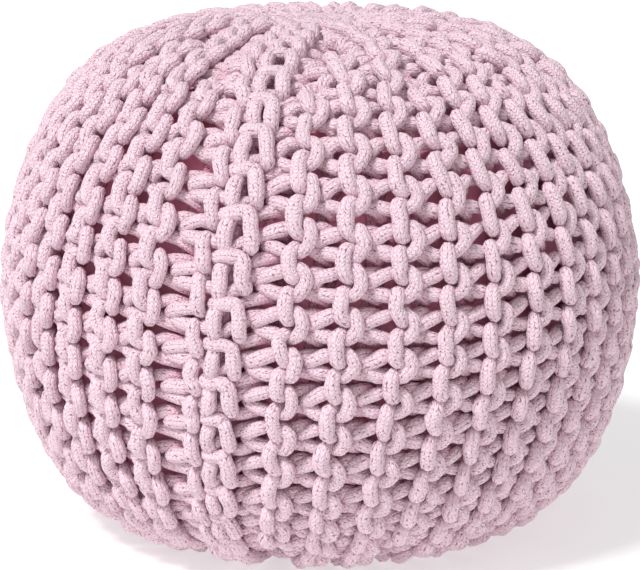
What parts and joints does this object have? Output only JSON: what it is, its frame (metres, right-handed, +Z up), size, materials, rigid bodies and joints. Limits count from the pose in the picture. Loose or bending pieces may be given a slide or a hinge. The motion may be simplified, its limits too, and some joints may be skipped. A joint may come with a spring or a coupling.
{
  "type": "knitted pouf",
  "caption": "Round, firmly filled pouf in thick pale pink cotton cord, garter-stitch ridges running from the base to a gathered crown, flat base.",
  "frame": {"origin": "centre of the flattened base, on the surface that the pouf stands on", "axes": "+Z up towards the gathered crown; -Y towards the front, where the laced seam runs just left of the middle"},
  "size_m": [0.4498, 0.4498, 0.3575],
  "materials": {
    "cotton_cord": "matt pale pink tube-knit cotton cord, knitted in garter stitch"
  },
  "bodies": {
    "root": {"knit_body": "cotton_cord"}
  },
  "joints": []
}
